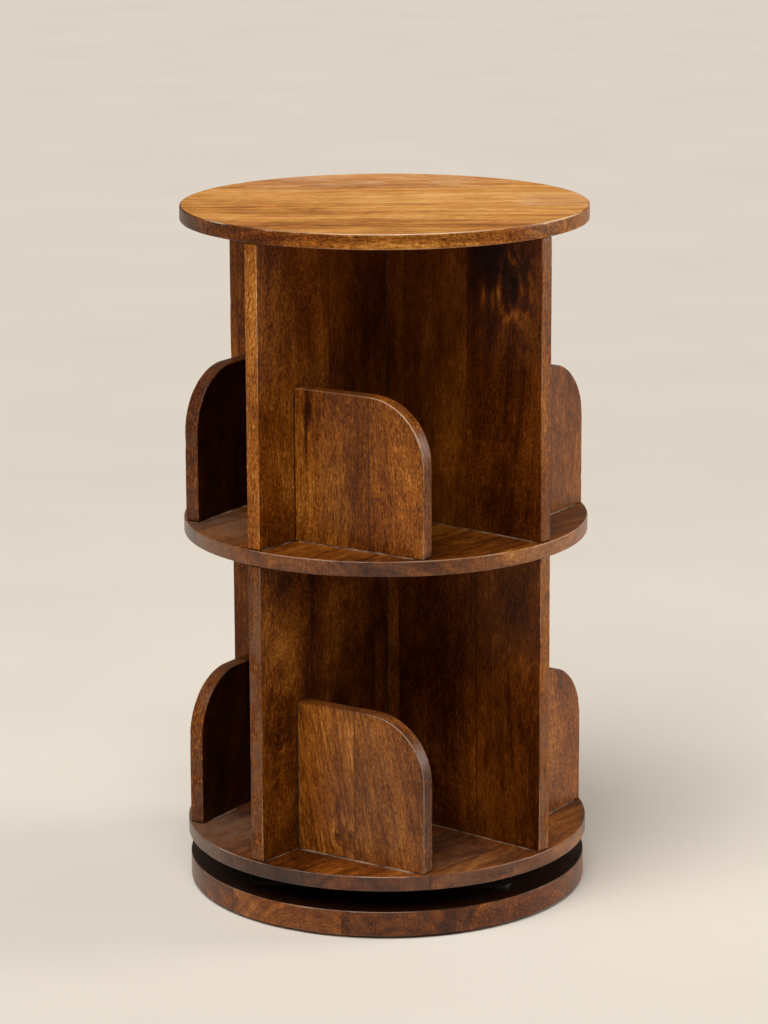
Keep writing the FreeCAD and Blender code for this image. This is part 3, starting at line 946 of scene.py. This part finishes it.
lower_long_wood = dict(
    seam=-0.124, seed=5.0, tone=0.38, edge_tone=0.01, dust_and_sheen=0.55, flecked=1.0, edge_flecks=1.1,
    knots=((-0.172, 0.199, 0.016, 0.08),),
    # The second mark darkens the board's top, under the middle shelf: painted shade.
    marks=((-0.163, 0.268, 0.020, 0.042, 0.28), (-0.150, 0.345, 0.060, 0.024, -0.20),
           (-0.128, 0.230, 0.006, 0.110, -0.25), (-0.172, 0.246, 0.010, 0.014, -0.20),
           (-0.150, 0.110, 0.030, 0.030, 0.10), (-0.098, 0.285, 0.030, 0.085, 0.24)),
)
lower_right_wood = dict(
    seam=0.120, seed=11.0, tone=0.38, edge_tone=0.28, dust_and_sheen=0.40,
    marks=((0.180, 0.250, 0.014, 0.014, 0.14), (0.170, 0.130, 0.020, 0.040, 0.10)),
)
lower_left_wood = dict(seam=0.100, seed=23.0, tone=0.46)
print("marks on the upper right partition:", len(upper_right_wood["marks"]))

# %% Crossed partitions
BOARD = 0.015  # thickness of partitions and stops
REACH = 0.198  # of the partitions from the axis
SHEET_CORNER, SHEET_STEP, SHEET_EASE = 0.0018, 0.005, 0.0010
UP = np.array([0.0, 0.0, 1.0])
GRAIN_UP = (0.0, 1.0)
TO_BACK, TO_RIGHT, TO_LEFT = (0.0, 1.0, 0.0), (1.0, 0.0, 0.0), (-1.0, 0.0, 0.0)


def stand_up(points, foot, along):
    """Turn slab coordinates (along, up, out) into places: foot + along * a + up * b + out * c."""
    along = np.array(along, float)
    out = np.cross(along, UP)
    return np.array(foot) + points[:, :1] * along + points[:, 1:2] * UP + points[:, 2:] * out


partitions = [
    # node, direction along the board, start on that line, wood, seed of the easing
    ("upper_long_partition", TO_BACK, -REACH, upper_long_wood, 200),
    ("upper_short_partition_right", TO_RIGHT, BOARD / 2, upper_right_wood, 210),
    ("upper_short_partition_left", TO_LEFT, BOARD / 2, upper_left_wood, 220),
    ("lower_long_partition", TO_BACK, -REACH, lower_long_wood, 230),
    ("lower_short_partition_right", TO_RIGHT, BOARD / 2, lower_right_wood, 240),
    ("lower_short_partition_left", TO_LEFT, BOARD / 2, lower_left_wood, 250),
]
for node, along, start, own_wood, seed in partitions:
    low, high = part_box(node)
    sheet = sheet_outline(start, REACH, high[2] - low[2], [SHEET_CORNER] * 4, SHEET_STEP)
    points, faces, carried = slab(*sheet, GRAIN_UP, BOARD / 2, SHEET_EASE, seed)
    points = stand_up(points, (0.0, 0.0, low[2]), along)
    wood = Boards(turn=math.atan2(along[1], along[0]), **{**PARTITION_WOOD, **own_wood})
    wooden_board(node, "carousel", points, faces, carried, wood)

# %% [markdown]
# ## Book stops
#
# A stop is a low board across the open side of each quarter, with one large round corner at its free
# end. It leans inwards by a few degrees from the line of the partitions, so its butt end is cut at that
# angle: near the partition, points are slid along the board by thickness times the tangent of the angle.
# The front stop of each tier is the one that shows best, so its wood is noted down with more care.

# %% Outline of a stop
STOP_TALL = 0.150
STOP_CORNER = 0.062
STOP_OFFSET = 0.146  # from the axis to where its outer face meets the partition
STOP_REACH = 0.1995  # from the axis to its outer face's free end
STOP_TILT = math.radians(6.6)
STOP_SHARP_CORNER, STOP_STEP = 0.0021, 0.003
stop_start = np.array([BOARD / 2, -STOP_OFFSET])
stop_along = np.array([math.cos(STOP_TILT), math.sin(STOP_TILT)])
stop_lean = stop_start @ stop_along
stop_length = -stop_lean + math.sqrt(stop_lean ** 2 + STOP_REACH ** 2 - stop_start @ stop_start)
stop_radii = [STOP_SHARP_CORNER, STOP_SHARP_CORNER, STOP_CORNER, STOP_SHARP_CORNER]
stop_sheet = sheet_outline(0.0, stop_length, STOP_TALL, stop_radii, STOP_STEP)
print("stop length", round(stop_length, 4))

# %% Wood of the stops
# The stops' back faces, inside the compartments, are darkened: painted shade.
STOP_WOOD = dict(width=0.098, painted_back_shade=-0.30, edge_tone=-0.07, end_tones=(0.02, -0.20), dust_and_sheen=0.24,
                 rubbed_and_highlit=0.18, sheen=0.18, flecked=1.0, edge_flecks=1.4)
# In both front stops the highlight spot paints the highlight on the round corner's arris.
upper_front_wood = dict(
    edge_tone=-0.03, highlight_spot=(0.110, 0.500, 0.045, 0.55), strips=(-1, (-0.02, -0.06)),
    marks=((0.0045, 0.507, 0.0036, 0.016, -0.45), (0.0035, 0.476, 0.0018, 0.022, -0.40),
           (0.0020, 0.420, 0.020, 0.040, 0.10), (0.0620, 0.450, 0.010, 0.070, -0.10)),
)
lower_front_wood = dict(
    edge_tone=-0.17, highlight_spot=(0.110, 0.190, 0.045, 0.26), strips=(-1, (0.02, 0.02)), lined=0.90, mottled=0.35,
    knots=((0.052, 0.086, 0.009, 0.16), (0.036, 0.084, 0.007, 0.16)),
    marks=((0.0530, 0.190, 0.004, 0.018, 0.20), (0.0440, 0.085, 0.014, 0.012, 0.06)),
    dulled=((0.090, 0.130, 0.060, 0.080, 0.25),),
)
print("knots in the lower front stop:", len(lower_front_wood["knots"]))

# %% Four stops in each tier
STOP_EASE = 0.0012
LOG_STEP, QUARTER_STEP = 7.0, 10  # from one quarter to the next: in seeds of logs, in other seeds


def quarter_turn(number):
    """Rotation about Z by a number of quarter turns, as a 3 by 3 array."""
    c, s = [(1, 0), (0, 1), (-1, 0), (0, -1)][number]
    return np.array([[c, -s, 0], [s, c, 0], [0, 0, 1]], float)


stop_tiers = [
    # tier, seam, lean of the grain, seed of logs, seed of easing, tones of the stops, front stop's wood
    ("upper", 0.075, 0.02, 100.0, 500, (0.54, 0.48, 0.52, 0.40), upper_front_wood),
    ("lower", 0.057, 0.22, 130.0, 530, (0.55, 0.58, 0.54, 0.47), lower_front_wood),
]
inward = np.array([-stop_along[1], stop_along[0], 0.0])
for tier, seam, lean, log_seed, ease_seed, tones, front_wood in stop_tiers:
    for number, side in enumerate(("front", "right", "back", "left")):
        node = f"{tier}_stop_{side}"
        low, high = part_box(node)
        seed = ease_seed + QUARTER_STEP * number
        points, faces, carried = slab(*stop_sheet, GRAIN_UP, BOARD / 2, STOP_EASE, seed)
        slide = (BOARD / 2 - points[:, 2]) * math.tan(STOP_TILT)
        points[:, 0] += slide * (1.0 - points[:, 0] / stop_length)
        foot = np.append(stop_start, low[2]) + BOARD / 2 * inward
        points = stand_up(points, foot, (*stop_along, 0.0)) @ quarter_turn(number).T
        own_wood = front_wood if side == "front" else {}
        wood = Boards(turn=STOP_TILT + number * math.pi / 2, seam=seam, seed=log_seed + LOG_STEP * number,
                      tone=tones[number], lean=lean, **{**STOP_WOOD, **own_wood})
        wooden_board(node, "carousel", points, faces, carried, wood)

# %% [markdown]
# ## Beads in the joints
#
# Where a wall meets a shelf, lacquer and wax have gathered in the angle and dried as a thin bead; its pale
# colour is partly the lacquer and partly a painted highlight of the glossy fillet. In the upright joints a
# nearly black bead paints the shade of the joint. A bead is a small hollow fillet carried along the joint. It
# could be a bump in the wood's material, but it stands out against the boards, so it is a thin piece with its
# own finish.

# %% Bead along a joint
HOLLOW = np.radians(np.linspace(0.0, 90.0, 6))
SUNK = 0.0003
BEAD_WAVES, BEAD_WAVE_RANGE, BEAD_UNEVEN = 6, (0.004, 0.02), 0.9  # number of sines, lengths, height
BEAD_TAPER, BEAD_TIP = 0.008, 0.06  # length of its tapering ends, and the part of its size left at a tip


def bead(path, first, second, size):
    """Fillet along a path in the angle between two faces, which leave the path in two directions.

    At angle r of its hollow it is size * (1 - cos r) out on the first face and size * (1 - sin r) out on the
    second. Three more corners, sunk a little into the wood, close the section.
    """
    sunk = np.full_like(size, -SUNK)
    out = np.concatenate([np.outer(size, 1.0 - np.cos(HOLLOW)), np.stack([size, sunk, sunk], -1)], 1)
    up = np.concatenate([np.outer(size, 1.0 - np.sin(HOLLOW)), np.stack([sunk, sunk, size], -1)], 1)
    rings = path[:, None] + out[..., None] * first + up[..., None] * second
    index = np.arange(rings[..., 0].size).reshape(rings.shape[:2])
    faces = band_quads(index) + [index[0].tolist(), index[-1][::-1].tolist()]
    points = rings.reshape(-1, 3)
    if volume(points, faces) < 0.0:
        faces = [face[::-1] for face in faces]
    return points, faces


def bead_sizes(way, usual, seed):
    """Size along a bead: the usual size times an uneven wave, tapering to nearly nothing at both ends."""
    draw = np.random.default_rng(seed)
    lengths = draw.uniform(*BEAD_WAVE_RANGE, BEAD_WAVES)
    wave = np.sin(way[:, None] / lengths + draw.uniform(*PHASES, BEAD_WAVES)).mean(1)
    ends = np.clip(np.minimum(way, way[-1] - way) / BEAD_TAPER, BEAD_TIP, 1.0)
    return usual * (1.0 + BEAD_UNEVEN * wave) * ends


def four_quarters(runs, seed):
    """Beads along runs, repeated in each quarter; a run is its path, two directions and its usual size."""
    points, faces, count = [], [], 0
    for quarter in range(4):
        spin = quarter_turn(quarter)
        for number, (path, first, second, usual) in enumerate(runs):
            way = np.append(0.0, np.cumsum(np.linalg.norm(np.diff(path, axis=0), axis=1)))
            size = bead_sizes(way, usual, seed + QUARTER_STEP * quarter + number)
            some, rows = bead(path @ spin.T, spin @ first, spin @ second, size)
            faces += [[i + count for i in face] for face in rows]
            points.append(some)
            count += len(some)
    return np.vstack(points), faces


print("a bead's section has", len(HOLLOW) + 3, "corners")

# %% Where the beads run in one quarter
WALL = BOARD / 2
BEAD_STEP = 0.0025
WALL_BEAD, STOP_BEAD, CORNER_BEAD = 0.0006, 0.0009, 0.0008  # usual sizes
WALL_CLEAR, OUTER_CLEAR, INNER_CLEAR = 0.004, 0.010, 0.014  # how far beads stop short of the shelf's rim
FOOT_CLEAR, HEAD_CLEAR = 0.001, 0.002  # how far they stop short elsewhere
RIGHT, FORWARD = np.array([1.0, 0.0, 0.0]), np.array([0.0, -1.0, 0.0])
STOP_RUN = np.append(stop_along, 0.0)
STOP_OUT = np.array([stop_along[1], -stop_along[0], 0.0])
outer_foot = np.append(stop_start, 0.0)
inner_foot = outer_foot - STOP_OUT * BOARD
inner_joint = inner_foot + STOP_RUN * BOARD * math.tan(STOP_TILT)


def straight(start, end):
    """Evenly spaced points from start to end."""
    start, end = np.array(start), np.array(end)
    count = max(RUN_POINTS, int(np.linalg.norm(end - start) / BEAD_STEP))
    return start + (end - start) * np.linspace(0.0, 1.0, count)[:, None]


def along_stop(foot, clear):
    """Points along a face of the stop, from near the partition to a little short of the rim."""
    return straight(foot + STOP_RUN * FOOT_CLEAR, foot + STOP_RUN * (stop_length - clear))


def level_runs(level):
    """Joints on a shelf: along both partitions of a quarter, and along both faces of its stop."""
    lift, far = UP * level, REACH - WALL_CLEAR
    corner, front_end, right_end = (WALL, -WALL, level), (WALL, -far, level), (far, -WALL, level)
    return [
        (straight(front_end, corner), RIGHT, UP, WALL_BEAD),
        (straight(corner, right_end), FORWARD, UP, WALL_BEAD),
        (along_stop(outer_foot, OUTER_CLEAR) + lift, STOP_OUT, UP, STOP_BEAD),
        (along_stop(inner_foot, INNER_CLEAR) + lift, -STOP_OUT, UP, STOP_BEAD),
    ]


def upright_runs(level, tall):
    """Upright joints over a shelf: where the partitions cross, and where a stop's faces meet a partition."""
    foot, head = UP * (level + FOOT_CLEAR), UP * (level + tall - FOOT_CLEAR)
    stop_head = UP * (level + STOP_TALL - HEAD_CLEAR)
    crossing = np.array([WALL, -WALL, 0.0])
    return [
        (straight(crossing + foot, crossing + head), FORWARD, RIGHT, CORNER_BEAD),
        (straight(outer_foot + foot, outer_foot + stop_head), FORWARD, STOP_RUN, CORNER_BEAD),
        (straight(inner_joint + foot, inner_joint + stop_head), -FORWARD, STOP_RUN, CORNER_BEAD),
    ]


print("beads run", round(stop_length - OUTER_CLEAR, 3), "m along a stop")

# %% Beads
CORNER_SEED = 100  # from the seed of a tier's level beads to that of its upright ones
SPECKLE_ROUGH = 0.3  # how much the roughness changes over the patches


def speckled(name, patch, dark, pale, rough, bump, ends=(0.3, 0.7), octaves=4.0, relief=0.3,
             metal=0.0, mirror=0.5, drawn_out=1.0):
    """A finish of two colours in patches of a given size in metres, with the same patches in its gloss.

    The ends are the noise at which a patch is dark and pale, and the relief is its height over its size.
    """
    finish, tree, shader = new_finish(name)
    x, y, z = place_in(tree)
    grain = clouds(x / patch, y / patch, z / (patch * drawn_out), octaves, roughness=0.6)
    feed(tree, shader.inputs["Base Color"], tint(grain, list(zip(ends, (dark, pale)))))
    feed(tree, shader.inputs["Roughness"], (grain - 0.5) * SPECKLE_ROUGH + rough)
    shader.inputs["Metallic"].default_value = metal
    shader.inputs["Specular IOR Level"].default_value = mirror
    rough_surface(tree, shader, grain, patch * relief, bump)
    return finish


BEAD_SPECKLE = dict(patch=1.0 / 60.0, rough=0.55, bump=0.4, ends=(0.38, 0.68), octaves=3.0, relief=0.036, mirror=0.15)
# The pale bead is dried lacquer, and its paleness also paints the highlight of the glossy fillet.
pale_lacquer_and_highlight = speckled("pale_lacquer_and_painted_highlight", dark=(0.06, 0.028, 0.012), pale=(0.30, 0.21, 0.14), **BEAD_SPECKLE)
# The nearly black bead paints the shade in the upright joints.
painted_joint_shade = speckled("painted_joint_shade", dark=(0.004, 0.002, 0.001), pale=(0.030, 0.014, 0.006), **BEAD_SPECKLE)
for tier, shelf, seed in (("upper", "middle_shelf", 900), ("lower", "lower_shelf", 950)):
    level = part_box(shelf)[1][2]
    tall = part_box(tier + "_long_partition")[1][2] - level
    level_beads = four_quarters(level_runs(level), seed)
    upright_shade_beads = four_quarters(upright_runs(level, tall), seed + CORNER_SEED)
    smooth_piece(tier + "_joint_beads", "carousel", *level_beads, pale_lacquer_and_highlight)
    smooth_piece(tier + "_corner_shade_beads", "carousel", *upright_shade_beads, painted_joint_shade)

# %% [markdown]
# ## Swivel, screws, dowels and pads
#
# These pieces are right as the CAD model has them, so they keep their meshes and only get a finish. The
# plates are black painted steel, the balls bright steel, the screws zinc plated, the ball cage dull
# nylon, the dowels pale beech and the pads pressed felt. Each is two colours in fine patches, as the beads
# are: one plain colour would look like plastic.

# %% Finishes of the hidden pieces
finishes = {
    "swivel_steel": speckled("black_painted_steel", patch=0.0012, dark=(0.010, 0.010, 0.011),
                             pale=(0.022, 0.022, 0.024), rough=0.42, bump=0.15),
    "ball_steel": speckled("bright_ball_steel", patch=0.0040, dark=(0.52, 0.53, 0.55),
                           pale=(0.62, 0.63, 0.65), rough=0.16, bump=0.02, metal=1.0),
    "screw_steel": speckled("zinc_plated_steel", patch=0.0020, dark=(0.46, 0.46, 0.44),
                            pale=(0.64, 0.63, 0.58), rough=0.34, bump=0.10, metal=1.0),
    "cage_plastic": speckled("dull_nylon", patch=0.0015, dark=(0.55, 0.53, 0.47),
                             pale=(0.64, 0.62, 0.56), rough=0.48, bump=0.10),
    "dowel_wood": speckled("pale_beech", patch=0.0010, dark=(0.36, 0.22, 0.11),
                           pale=(0.52, 0.35, 0.20), rough=0.55, bump=0.15, drawn_out=12.0),
    "felt": speckled("pressed_felt", patch=0.0008, dark=(0.020, 0.014, 0.010),
                     pale=(0.060, 0.044, 0.034), rough=0.92, bump=0.60),
}
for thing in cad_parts.values():
    slot = thing.material_slots[0]
    if slot.material and slot.material.name in finishes:
        slot.material = finishes[slot.material.name]
print("finishes:", sorted(finishes))

# %% [markdown]
# ## Size
#
# Easing takes wood away, so the dressed bookcase stays inside the CAD model's box.
